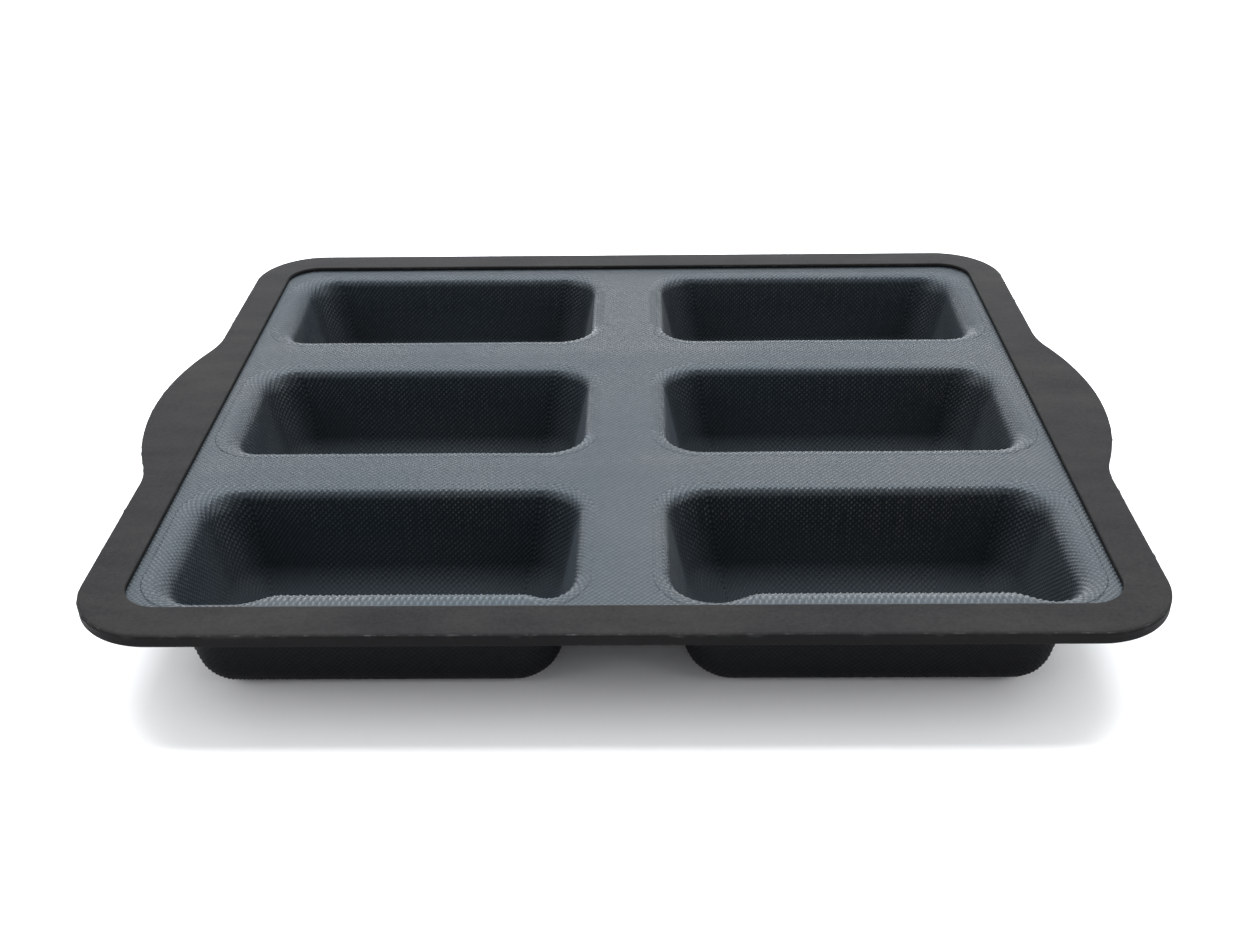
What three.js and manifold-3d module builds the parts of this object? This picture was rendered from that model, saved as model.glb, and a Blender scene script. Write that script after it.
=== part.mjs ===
// A six-pocket baguette tray: a formed cloth of coated glass-fibre mesh, moulded into a
// flexible silicone rim that has a steel wire frame inside and an ear-shaped grip at each end.
//
// Millimetres. +X runs along the tray to the right, +Y to the back and +Z up. The origin is
// the middle of the plane that the pocket undersides stand on.

import * as THREE from 'three';
import { mergeVertices } from 'three/addons/utils/BufferGeometryUtils.js';
import Module from 'manifold-3d';

// ---- Driving dimensions -------------------------------------------------------------

const trayHeight = 42; // the plane that the tray stands on to the top of the rim

// Silicone rim
const rimLength = 350; // along X, without the ears
const rimDepth = 305; // along Y
const rimCornerRadius = 28;
const rimWidth = 15;
const rimThickness = 5;
const rimTopFall = 0.35; // how much lower the rim's top is at its outer edge
const rimTopEdge = 0.8; // bevels of the rim's long edges
const rimInnerEdge = 0.4;
const rimBottomEdge = 0.5;

// Grip ears: a wide outward arc that joins the side through a hollow arc at each end
const earReach = 12;
const earRadius = 128;
const earFilletRadius = 38;

// Cloth
const clothThickness = 1;
const clothBelowRimTop = 1.8; // the step from the rim's top down to the cloth
const clothCapture = 6.5; // how far the rim holds the cloth's edge

// Pockets, all alike: measured on the cloth's upper face, at the start of the rounded lip
const columnCentre = 83.5; // +X and -X
const rowPitch = 96;
const middleRowY = -3;
const pocketHalfLength = 72;
const pocketHalfWidth = 37;
const pocketCornerRadius = 22;
const longWall = { draft: THREE.MathUtils.degToRad(7), lipRadius: 4, floorRadius: 12 };
const endWall = { draft: THREE.MathUtils.degToRad(13), lipRadius: 8, floorRadius: 12 };
const lipBow = 4; // the front row's near lip leans in by this much, apart from its ends
const lipBowHalfLength = 50;
const lipBowEnd = 10; // the bow rises over this length at either end
const lipBowDepth = 20; // the lean dies away over this depth

// Steel wire frame
const wireRadius = 1.5;
const wireInset = 5; // the wire's centre line, in from the rim's outer edge
const wireBelowRimTop = 2.5;

// Holes that the mould's wire supports leave in the rim's underside
const pinHoleRadius = 2;
const pinHoleX = 100; // on the front and back sides
const pinHoleY = 95; // on the left and right sides

// Clearances between separate solids
const curvedGap = 0.3;
const flatGap = 0.1;

// How finely curves are divided
const cornerSteps = 7;
const earSteps = 8;
const earFilletSteps = 3;
const pocketCornerSteps = 5;
const lipSteps = 4;
const floorSteps = 3;
const bowSteps = 10;
const wireSides = 8;
const pinHoleSides = 12;

// ---- Sizes that follow ----------------------------------------------------------------

const rimBottom = trayHeight - rimThickness;
const clothTop = trayHeight - clothBelowRimTop;
const clothUnderside = clothTop - clothThickness;
const pocketDepth = clothTop - clothThickness; // from the upper face of the cloth to a pocket floor
const wireHeight = trayHeight - wireBelowRimTop;
const innerLength = rimLength - 2 * rimWidth;
const innerDepth = rimDepth - 2 * rimWidth;
const innerCornerRadius = rimCornerRadius - rimWidth;
const rows = { front: middleRowY - rowPitch, middle: middleRowY, back: middleRowY + rowPitch };
const columns = { left: -columnCentre, right: columnCentre };

// ---- Materials ----------------------------------------------------------------------

const silicone = { color: 0x3a3b3d, roughness: 0.55, metalness: 0 };
const coatedCloth = { color: 0x343b42, roughness: 0.5, metalness: 0 };
const steel = { color: 0xb4b6b8, roughness: 0.35, metalness: 1 };

// ---- Closed bodies --------------------------------------------------------------------

// Skins a row of rings that have the same number of points, each anticlockwise to an eye
// that looks along the row. A loop of rings joins its last ring to its first, and any other
// row starts and ends with a level cap over an outline that is anticlockwise from above.
function loft(rings, isLoop) {
  const count = rings[0].length;
  const positions = rings.flat().flatMap((p) => [p.x, p.y, p.z]);
  const faces = [];
  const spans = isLoop ? rings.length : rings.length - 1;
  for (let r = 0; r < spans; r += 1) {
    const here = r * count;
    const next = ((r + 1) % rings.length) * count;
    for (let i = 0; i < count; i += 1) {
      const j = (i + 1) % count;
      faces.push(here + i, next + j, here + j);
      faces.push(here + i, next + i, next + j);
    }
  }
  if (!isLoop) {
    const last = (rings.length - 1) * count;
    for (const [a, b, c] of THREE.ShapeUtils.triangulateShape(rings[0], [])) faces.push(a, b, c);
    for (const [a, b, c] of THREE.ShapeUtils.triangulateShape(rings.at(-1), [])) {
      faces.push(last + c, last + b, last + a);
    }
  }
  const geometry = new THREE.BufferGeometry();
  geometry.setAttribute('position', new THREE.Float32BufferAttribute(positions, 3));
  geometry.setIndex(faces);
  return geometry;
}

const wasm = await Module();
wasm.setup();

function toSolid(geometry) {
  const bare = geometry.clone();
  bare.deleteAttribute('normal');
  bare.deleteAttribute('uv');
  const welded = mergeVertices(bare);
  return new wasm.Manifold(new wasm.Mesh({
    numProp: 3,
    vertProperties: new Float32Array(welded.attributes.position.array),
    triVerts: new Uint32Array(welded.index.array),
  }));
}

function toGeometry(solid) {
  const mesh = solid.getMesh();
  const geometry = new THREE.BufferGeometry();
  geometry.setAttribute('position', new THREE.Float32BufferAttribute(mesh.vertProperties, 3));
  geometry.setIndex(Array.from(mesh.triVerts));
  return geometry;
}

// ---- Outlines -------------------------------------------------------------------------

// Points round an arc, both ends included, each with the direction out of the arc's centre.
function arc(centreX, centreY, radius, fromDegrees, toDegrees, steps) {
  const stations = [];
  for (let i = 0; i <= steps; i += 1) {
    const angle = THREE.MathUtils.degToRad(fromDegrees + ((toDegrees - fromDegrees) * i) / steps);
    const outward = new THREE.Vector2(Math.cos(angle), Math.sin(angle));
    const point = new THREE.Vector2(centreX, centreY).addScaledVector(outward, radius);
    stations.push({ point, outward });
  }
  return stations;
}

// A rounded rectangle about the origin, anticlockwise from its right end's lower corner.
function roundedRectangle(halfLength, halfWidth, radius, steps) {
  const x = halfLength - radius;
  const y = halfWidth - radius;
  return [
    ...arc(x, -y, radius, -90, 0, steps),
    ...arc(x, y, radius, 0, 90, steps),
    ...arc(-x, y, radius, 90, 180, steps),
    ...arc(-x, -y, radius, 180, 270, steps),
  ];
}

// The right-hand ear from front to back. The hollow arcs curve the other way, so the
// direction out of their centre is turned round to point out of the rim.
function rightEar() {
  const side = rimLength / 2;
  const earCentreX = side + earReach - earRadius;
  const filletCentreX = side + earFilletRadius;
  const alongX = filletCentreX - earCentreX;
  const filletCentreY = Math.sqrt((earRadius + earFilletRadius) ** 2 - alongX ** 2);
  const joinAngle = THREE.MathUtils.radToDeg(Math.atan2(filletCentreY, alongX));
  const turned = (stations) => stations.map((s) => ({ point: s.point, outward: s.outward.negate() }));
  const enter = turned(
    arc(filletCentreX, -filletCentreY, earFilletRadius, 180, 180 - joinAngle, earFilletSteps),
  );
  const leave = turned(
    arc(filletCentreX, filletCentreY, earFilletRadius, 180 + joinAngle, 180, earFilletSteps),
  );
  const crown = arc(earCentreX, 0, earRadius, -joinAngle, joinAngle, earSteps);
  return [...enter, ...crown.slice(1, -1), ...leave];
}

// The rim's outer edge, anticlockwise, with its ears.
function rimOutline() {
  const corners = roundedRectangle(rimLength / 2, rimDepth / 2, rimCornerRadius, cornerSteps);
  const perCorner = cornerSteps + 1;
  const ear = rightEar();
  const opposite = ear.map((s) => ({
    point: s.point.clone().negate(),
    outward: s.outward.clone().negate(),
  }));
  return [
    ...corners.slice(0, perCorner),
    ...ear,
    ...corners.slice(perCorner, 3 * perCorner),
    ...opposite,
    ...corners.slice(3 * perCorner),
  ];
}

// How wide the rim is at a station, square to its outer edge, and the slant at which that
// line meets the straight inner edge, as its length over the distance that it covers.
function widthAt({ point, outward }) {
  const inEar = Math.abs(point.x) > rimLength / 2;
  const slant = inEar ? 1 / Math.abs(outward.x) : 1;
  return { width: inEar ? (Math.abs(point.x) - innerLength / 2) * slant : rimWidth, slant };
}

// Sweeps a closed section round the rim's outline. The section is a list of
// [distance in from the outer edge, height] for a given rim width and slant.
function sweepRim(section) {
  const rings = rimOutline().map((station) => section(widthAt(station)).map(([inset, z]) => {
    const p = station.point.clone().addScaledVector(station.outward, -inset);
    return new THREE.Vector3(p.x, p.y, z);
  }));
  return loft(rings, true);
}

// ---- Silicone rim ---------------------------------------------------------------------

// A flat strip with a slot in its inner edge, which holds the edge of the cloth.
function rimSection({ width, slant }) {
  const slotEnd = width - (clothCapture + curvedGap) * slant;
  const outerTop = trayHeight - rimTopFall;
  return [
    [rimBottomEdge, rimBottom],
    [0, rimBottom + rimBottomEdge],
    [0, outerTop - rimTopEdge],
    [rimTopEdge, outerTop],
    [width - rimInnerEdge, trayHeight],
    [width, trayHeight - rimInnerEdge],
    [width, clothTop + flatGap],
    [slotEnd, clothTop + flatGap],
    [slotEnd, clothUnderside - flatGap],
    [width, clothUnderside - flatGap],
    [width, rimBottom],
  ];
}

function roundSection(radius) {
  return () => Array.from({ length: wireSides }, (_, i) => {
    const angle = ((i + 0.5) * 2 * Math.PI) / wireSides;
    return [wireInset - radius * Math.cos(angle), wireHeight + radius * Math.sin(angle)];
  });
}

function pinHole(x, y) {
  const length = wireHeight - rimBottom + 1; // starts 1 mm under the rim
  const hole = new THREE.CylinderGeometry(pinHoleRadius, pinHoleRadius, length, pinHoleSides);
  hole.rotateX(Math.PI / 2);
  hole.translate(x, y, wireHeight - length / 2);
  return toSolid(hole);
}

function siliconeRim() {
  const alongSides = rimLength / 2 - wireInset;
  const alongFront = rimDepth / 2 - wireInset;
  let rim = toSolid(sweepRim(rimSection));
  rim = rim.subtract(toSolid(sweepRim(roundSection(wireRadius + curvedGap))));
  for (const side of [-1, 1]) {
    for (const end of [-1, 1]) {
      rim = rim.subtract(pinHole(side * pinHoleX, end * alongFront));
      rim = rim.subtract(pinHole(side * alongSides, end * pinHoleY));
    }
    rim = rim.subtract(pinHole(side * (alongSides + earReach), 0));
  }
  return toGeometry(rim);
}

// ---- Cloth ------------------------------------------------------------------------------

// How far in from the lip's start a pocket's face lies at each depth: a rounded lip, a
// straight wall that leans by the draft, and a rounded edge to the floor. Below is how far
// the face lies under the cloth's upper face: 0, or the cloth's thickness.
function wallProfile(wall, below) {
  const { draft } = wall;
  const lip = wall.lipRadius - below;
  const floor = wall.floorRadius + below;
  const wallLength = (pocketDepth - (lip + floor) * (1 - Math.sin(draft))) / Math.cos(draft);
  const sweep = Math.PI / 2 - draft;
  const profile = [];
  for (let i = 0; i <= lipSteps; i += 1) {
    const angle = (sweep * i) / lipSteps;
    profile.push({ inset: lip * Math.sin(angle), depth: lip * (1 - Math.cos(angle)) });
  }
  const foot = lip * Math.cos(draft) + wallLength * Math.sin(draft);
  for (let i = 0; i <= floorSteps; i += 1) {
    const angle = draft + (sweep * i) / floorSteps;
    profile.push({
      inset: foot + floor * (Math.cos(draft) - Math.cos(angle)),
      depth: pocketDepth - floor * (1 - Math.sin(angle)),
    });
  }
  return profile;
}

// The inward lean of the near lip, at a distance x from the pocket's middle.
function bowAt(x, depth, bow) {
  const fade = Math.max(0, 1 - depth / lipBowDepth);
  return bow * fade * THREE.MathUtils.smoothstep(lipBowHalfLength - Math.abs(x), 0, lipBowEnd);
}

// A pocket's outline. The near side is divided where it has a bow.
function pocketOutline(halfLength, halfWidth, radius, depth, bow) {
  const points = roundedRectangle(halfLength, halfWidth, radius, pocketCornerSteps)
    .map((s) => s.point);
  if (bow === 0) return points;
  const reach = Math.min(lipBowHalfLength, halfLength - radius);
  for (let i = 0; i < bowSteps - 1; i += 1) {
    const x = -reach + (2 * reach * (i + 1)) / bowSteps;
    points.push(new THREE.Vector2(x, -halfWidth + bowAt(x, depth, bow)));
  }
  return points;
}

// The rings of one face of the pocket, from its lip to its floor.
function pocketFace(below, bow) {
  const ends = wallProfile(endWall, below);
  return wallProfile(longWall, below).map((long, i) => {
    const outline = pocketOutline(
      pocketHalfLength - ends[i].inset,
      pocketHalfWidth - long.inset,
      pocketCornerRadius - long.inset,
      long.depth,
      bow,
    );
    const height = clothTop - below - (long.depth + ends[i].depth) / 2;
    return outline.map((p) => new THREE.Vector3(p.x, p.y, height));
  });
}

function pocket(bow) {
  return loft([...pocketFace(0, bow).reverse(), ...pocketFace(clothThickness, bow)], false);
}

// The flat cloth between the pockets and out into the rim's slot.
function clothWeb() {
  const sheet = new THREE.Shape(roundedRectangle(
    innerLength / 2 + clothCapture,
    innerDepth / 2 + clothCapture,
    innerCornerRadius + clothCapture,
    cornerSteps,
  ).map((s) => s.point));
  for (const [row, y] of Object.entries(rows)) {
    for (const x of Object.values(columns)) {
      const hole = pocketOutline(
        pocketHalfLength + curvedGap,
        pocketHalfWidth + curvedGap,
        pocketCornerRadius + curvedGap,
        0,
        row === 'front' ? lipBow : 0,
      );
      sheet.holes.push(new THREE.Path(hole.map((p) => p.add(new THREE.Vector2(x, y)))));
    }
  }
  const geometry = new THREE.ExtrudeGeometry(sheet, { depth: clothThickness, bevelEnabled: false });
  return geometry.translate(0, 0, clothUnderside);
}

// ---- The tray -------------------------------------------------------------------------

const tray = new THREE.Group();

function addPiece(name, geometry, finish) {
  const mesh = new THREE.Mesh(geometry, new THREE.MeshStandardMaterial(finish));
  mesh.name = name;
  tray.add(mesh);
  return mesh;
}

addPiece('silicone_rim', siliconeRim(), silicone);
addPiece('steel_frame', sweepRim(roundSection(wireRadius)), steel);
addPiece('cloth_web', clothWeb(), coatedCloth);
for (const [row, y] of Object.entries(rows)) {
  for (const [column, x] of Object.entries(columns)) {
    const piece = addPiece(`pocket_${row}_${column}`, pocket(row === 'front' ? lipBow : 0), coatedCloth);
    piece.position.set(x, y, 0);
  }
}

export default tray;
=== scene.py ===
"""The look of the six-pocket baguette tray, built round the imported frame.

The formed cloth is woven in geometry: its surfaces are grids whose lines follow the yarns,
raised and lowered at every crossing. The silicone rim is one sweep round the tray's outline.
Lengths are in metres, and lengths that the frame doesn't hold are named here in millimetres.
"""

import math

import bmesh
import bpy
import numpy as np
from mathutils import Matrix, Vector


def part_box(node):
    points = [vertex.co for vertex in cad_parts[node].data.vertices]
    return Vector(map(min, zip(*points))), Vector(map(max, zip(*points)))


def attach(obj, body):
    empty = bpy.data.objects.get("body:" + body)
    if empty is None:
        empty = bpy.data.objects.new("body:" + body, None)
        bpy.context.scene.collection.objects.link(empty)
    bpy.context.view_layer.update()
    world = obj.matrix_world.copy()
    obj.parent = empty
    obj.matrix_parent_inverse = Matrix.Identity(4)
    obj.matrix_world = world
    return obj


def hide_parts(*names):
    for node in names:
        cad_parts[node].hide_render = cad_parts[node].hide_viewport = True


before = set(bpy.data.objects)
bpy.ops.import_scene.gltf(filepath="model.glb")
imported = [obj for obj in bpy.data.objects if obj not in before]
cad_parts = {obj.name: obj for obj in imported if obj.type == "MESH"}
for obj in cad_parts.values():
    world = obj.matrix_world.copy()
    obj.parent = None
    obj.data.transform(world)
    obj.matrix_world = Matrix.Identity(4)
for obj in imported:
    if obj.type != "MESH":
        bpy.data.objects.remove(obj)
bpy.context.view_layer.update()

MM = 0.001

# ---- Places from the frame ----------------------------------------------------------

rim_low, rim_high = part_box("silicone_rim")
web_low, web_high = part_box("cloth_web")
wire_low, wire_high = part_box("steel_frame")
RIM_TOP, RIM_BOTTOM = rim_high.z, rim_low.z
CLOTH_TOP = web_high.z
CLOTH_THICKNESS = web_high.z - web_low.z
WIRE_HEIGHT = (wire_low.z + wire_high.z) / 2
POCKETS = sorted(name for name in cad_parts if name.startswith("pocket_"))
ROW_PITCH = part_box("pocket_back_left")[0].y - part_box("pocket_middle_left")[0].y
COLUMN_X = sum(corner.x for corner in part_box("pocket_back_right")) / 2
MIDDLE_ROW_Y = sum(corner.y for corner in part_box("pocket_middle_left")) / 2

# ---- Measures of the rim and the wire -----------------------------------------------------

RIM_WIDTH = 15 * MM
RIM_CORNER = 28 * MM
RIM_TOP_FALL = 0.35 * MM
EAR_REACH = 12 * MM
EAR_RADIUS = 128 * MM
EAR_FILLET = 38 * MM
SIDE_X = rim_high.x - EAR_REACH
INNER_X = SIDE_X - RIM_WIDTH
INNER_Y = rim_high.y - RIM_WIDTH
WIRE_RADIUS = 1.5 * MM
WIRE_INSET = 5 * MM
PIN_HOLE_RADIUS = 2 * MM
PIN_HOLE_TAPER = 1.08  # how much wider the holes are at their mouths
PIN_HOLE_STOP = 0.55  # how far below the wire's middle they end, as a share of its radius
PIN_HOLE_X = 100 * MM
PIN_HOLE_Y = 95 * MM

# Rounded edges of the rim's section
RIM_TOP_EDGE = 0.9 * MM
RIM_INNER_EDGE = 0.55 * MM
RIM_FOOT_EDGE = 0.7 * MM
SLOT_EDGE = 0.25 * MM
SLOT_PLAY = 0.02 * MM  # between the cloth and the slot's faces
SLOT_DEPTH = 2.5 * MM

RIM_WAVES = (0.05 * MM, 60 * MM, 3)  # height, wavelength and seed

# The flash line along the rim's outer side. Its waves and specks run along the outline, so
# their widths are numbers of stations.
FLASH_BELOW_EDGE = 0.9 * MM  # below the top of the outer side
FLASH_WIDTH = 0.16 * MM
FLASH_HEIGHT = 0.06 * MM
FLASH_WAVES = (0.05 * MM, 40, 5)  # height, wavelength and seed
FLASH_SPECKS = 150
SPECK_HEIGHTS = (0.05 * MM, 0.3 * MM)
SPECK_WIDTH = 1.1
SPECK_SEED = 11

# The lighter broken line along the top of the rim's outer side
LIGHT_LINE_BELOW_EDGE = 0.3 * MM
LIGHT_LINE_LOWER_WIDTH = 0.3 * MM
LIGHT_LINE_UPPER_WIDTH = 0.2 * MM

# ---- Measures of the cloth ----------------------------------------------------------------

# (draft, lip radius, floor radius) of the long walls, of the end walls next to the rim and of
# those next to the other column, which have a tighter lip
LONG_WALL = (math.radians(7), 4 * MM, 12 * MM)
END_WALL = (math.radians(13), 8 * MM, 12 * MM)
INNER_END_WALL = (math.radians(13), 4.5 * MM, 14.5 * MM)
POCKET_CORNER = 18 * MM
POCKET_FLOOR_CORNER = 3 * MM
POCKET_DEPTH = CLOTH_TOP - CLOTH_THICKNESS

LINES_HOLD = 30 * MM  # up to here from a long side's middle, lines go straight down the wall
FLOOR_BLEND = 9 * MM  # from a floor's edge to where its grid is even

# The weave has four grid lines to each pair of crossings. Its spacing is fitted to the
# pockets' places, so that every pocket is centred on a crossing.
LINES_PER_KNOB = 4
LINES_TO_COLUMN = 160
LINES_TO_ROW = 184
STEP_X = COLUMN_X / LINES_TO_COLUMN
STEP_Y = ROW_PITCH / LINES_TO_ROW
STEP = (STEP_X + STEP_Y) / 2
KNOB_HEIGHT = 0.3 * MM
KNOB_UNEVEN = (0.5, 3.3 * MM, 31)  # share of the height, wavelength and seed
FULL_SPACING = 0.8  # where lines are closer than this share of their spacing, knobs are lower

# Grid lines on half of a pocket's straight long side, on half of its end and round a corner
LONG_LINES = 104
END_LINES = 36
CORNER_LINES = 39

FLANGE_ROWS = 4  # rings of a pocket outside its outline, which lie on the web
FLANGE_PROUD = 0.06 * MM
FLANGE_DIP = 0.45 * MM  # of the outermost ring, into the web
WEB_STARTS = 1.05 * MM  # from a pocket's outline to the middle of the web's first cell
WEB_TUCK = 2 * MM  # how far the web reaches into the rim's slot

# The web dips where it goes in under a pocket's rounded corner.
WEB_EDGE_DIP = 0.35 * MM
WEB_EDGE_START = 0.85 * WEB_STARTS  # from the pocket's outline, and the dip is full up to here
WEB_EDGE_WIDTH = 1.1 * MM  # the distance after that over which the web rises again
WEB_EDGE_END = 3 * MM  # the length over which the dip dies away towards the straight sides

# The cloth's slow unevenness. Waves and creases are (height, wavelength, seed), and strips are
# (where their creases die away, as a multiple of the width, and the width).
SAG_WAVES = ((0.14 * MM, 46 * MM, 21), (0.05 * MM, 15 * MM, 22), (0.07 * MM, 5.5 * MM, 25))
SAG_FROM_RIM = 9 * MM  # this far from the rim the unevenness is full
CREASE_STRETCH = 0.1  # creases are ten times as long as they are wide
CROWN = 0.6 * MM  # of the strips between the rows
ROW_STRIP = (1.4, 8 * MM)
ROW_CREASES = (0.02 * MM, 3.4 * MM, 24)
MIDDLE_STRIP = (1.5, 9 * MM)
MIDDLE_CREASES = (0.035 * MM, 3.4 * MM, 23)

# The near lip of the front pockets leans in.
LIP_BOW = 5.2 * MM
LIP_BOW_SHIFT = {"left": 13 * MM, "right": 1 * MM}  # of its middle, from the pocket's
LIP_BOW_HALF = 54 * MM
LIP_BOW_END = 15 * MM
LIP_BOW_START = 6 * MM  # the run down the pocket's face over which the lean begins
LIP_BOW_FULL = 3 * MM  # the depth down to which the lean is full
LIP_BOW_DEPTH = 14 * MM  # the depth below that over which it dies away
# (size, place down the pocket's face, width) of a roll along the lip, of a groove outside it,
# and of the share by which the crossings are taller there
LIP_ROLL = (1.1 * MM, 4.6 * MM, 3 * MM)
LIP_GROOVE = (0.8 * MM, 0.6 * MM, 1.2 * MM)
LIP_BEADS = (0.9, 3.4 * MM, 1.9 * MM)

# ---- Measures of the studio ---------------------------------------------------------------

FLOOR_DROP = 0.6 * MM  # below the CAD's plane, because the woven undersides reach under it
FLOOR_HALF = 6.0  # half of the floor's side, in metres
CAMERA_PITCH, CAMERA_YAW, CAMERA_ROLL = (math.radians(a) for a in (30.49, -0.91, 0.77))
CAMERA_PLACE = (0.0077, -0.5069, RIM_TOP + 0.2668)
CAMERA_LENS = 41.62


# ---- Small tools ------------------------------------------------------------------------


def smooth(x):
    """0 to 1 with soft ends, for an array or a number."""
    x = np.clip(x, 0.0, 1.0)
    return x * x * (3 - 2 * x)


def bell(x, size, place, width):
    """A soft ridge: its full size at a place, and about a third of it a width away."""
    return size * np.exp(-(((x - place) / width) ** 2))


def waves(x, y, wavelength, seed, count=7):
    """Gentle uneven waviness within -1 and 1: a few crossing sine waves."""
    rng = np.random.default_rng(seed)
    total = np.zeros(np.broadcast(x, y).shape)
    for _ in range(count):
        angle = rng.uniform(0, math.pi)
        turn = rng.uniform(0, 2 * math.pi)
        size = 2 * math.pi / (wavelength * rng.uniform(0.7, 1.5))
        total += np.sin(size * (x * math.cos(angle) + y * math.sin(angle)) + turn)
    return total / count


def make_piece(name, points, quads, materials, replaced, chosen=None):
    """A mesh object that rides on the tray's one body.

    chosen has the number of each quad's material, where there is more than one."""
    mesh = bpy.data.meshes.new(name)
    mesh.from_pydata([], [], [])
    mesh.vertices.add(len(points))
    mesh.vertices.foreach_set("co", np.asarray(points, np.float32).ravel())
    quads = np.asarray(quads, np.int32)
    mesh.loops.add(quads.size)
    mesh.loops.foreach_set("vertex_index", quads.ravel())
    mesh.polygons.add(len(quads))
    mesh.polygons.foreach_set("loop_start", np.arange(len(quads), dtype=np.int32) * 4)
    for material in materials:
        mesh.materials.append(material)
    if chosen is not None:
        mesh.polygons.foreach_set("material_index", np.asarray(chosen, np.int32))
    mesh.update(calc_edges=True)
    mesh.validate()
    mesh.polygons.foreach_set("use_smooth", np.full(len(mesh.polygons), True))
    piece = bpy.data.objects.new(name, mesh)
    bpy.context.scene.collection.objects.link(piece)
    finish_piece(piece, replaced)
    return piece


def finish_piece(piece, replaced):
    """Hangs the piece on the tray's one body, and hides the CAD nodes that it stands in for."""
    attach(piece, "root")
    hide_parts(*replaced)


def add_attribute(piece, name, values):
    """Gives each point of the piece a number that a material can read."""
    attribute = piece.data.attributes.new(name, "FLOAT", "POINT")
    attribute.data.foreach_set("value", np.asarray(values, np.float32).ravel())


def ring_quads(rings, count, closed=False):
    """Quads between neighbouring rings of count points, numbered ring by ring."""
    r = np.arange(rings if closed else rings - 1)[:, None]
    i = np.arange(count)[None, :]
    here, after = r * count, ((r + 1) % rings) * count
    j = (i + 1) % count
    quads = np.stack([here + i, here + j, after + j, after + i], -1)
    return quads.reshape(-1, 4)


# ---- Materials -----------------------------------------------------------------------


class Nodes:
    """Short calls for building a material's node tree."""

    def __init__(self, name):
        self.material = bpy.data.materials.new(name)
        self.material.use_nodes = True
        self.tree = self.material.node_tree
        self.shader = self.tree.nodes["Principled BSDF"]

    def add(self, kind, **settings):
        node = self.tree.nodes.new(kind)
        for key, value in settings.items():
            setattr(node, key, value)
        return node

    def link(self, output, socket):
        self.tree.links.new(output, socket)

    def position(self, scale=(1, 1, 1)):
        """Object coordinates, stretched."""
        mapping = self.add("ShaderNodeMapping")
        mapping.inputs["Scale"].default_value = scale
        self.link(self.add("ShaderNodeTexCoord").outputs["Object"], mapping.inputs["Vector"])
        return mapping.outputs["Vector"]

    def height(self):
        """How high a point is above the plane that the tray stands on."""
        split = self.add("ShaderNodeSeparateXYZ")
        self.link(self.add("ShaderNodeTexCoord").outputs["Object"], split.inputs[0])
        return split.outputs["Z"]

    def noise(self, scale, detail=2.0, roughness=0.5, stretch=(1, 1, 1)):
        """Noise with a size of about 1 / scale metres."""
        node = self.add("ShaderNodeTexNoise")
        node.inputs["Scale"].default_value = scale
        node.inputs["Detail"].default_value = detail
        node.inputs["Roughness"].default_value = roughness
        self.link(self.position(stretch), node.inputs["Vector"])
        return node.outputs["Fac"]

    def attribute(self, name):
        return self.add("ShaderNodeAttribute", attribute_name=name).outputs["Fac"]

    def ramp(self, value, low, high, start=0.0, end=1.0):
        """A value from start to end, mapped to low to high and held there outside."""
        node = self.add("ShaderNodeMapRange")
        for key, number in zip(("From Min", "From Max", "To Min", "To Max"), (start, end, low, high)):
            node.inputs[key].default_value = number
        self.link(value, node.inputs["Value"])
        return node.outputs["Result"]

    def colours(self, value, first, second):
        """A mix of two fixed colours, by a linked value."""
        node = self.add("ShaderNodeMix", data_type="RGBA")
        node.inputs[6].default_value = (*first, 1)
        node.inputs[7].default_value = (*second, 1)
        self.link(value, node.inputs[0])
        return node.outputs[2]

    def blend(self, value, first, second):
        """A mix of two linked colours, by a linked value."""
        node = self.add("ShaderNodeMix", data_type="RGBA")
        self.link(first, node.inputs[6])
        self.link(second, node.inputs[7])
        self.link(value, node.inputs[0])
        return node.outputs[2]

    def maths(self, operation, first, second):
        node = self.add("ShaderNodeMath", operation=operation)
        self.link(first, node.inputs[0])
        self.link(second, node.inputs[1])
        return node.outputs[0]

    def bump(self, height, distance, strength, before=None):
        node = self.add("ShaderNodeBump")
        node.inputs["Distance"].default_value = distance
        node.inputs["Strength"].default_value = strength
        self.link(height, node.inputs["Height"])
        if before is not None:
            self.link(before, node.inputs["Normal"])
        return node.outputs["Normal"]

    def shade(self, **sockets):
        """Sets or links the shader's own sockets."""
        for key, value in sockets.items():
            socket = self.shader.inputs[key.replace("_", " ")]
            if isinstance(value, bpy.types.NodeSocket):
                self.link(value, socket)
            else:
                socket.default_value = value


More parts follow.
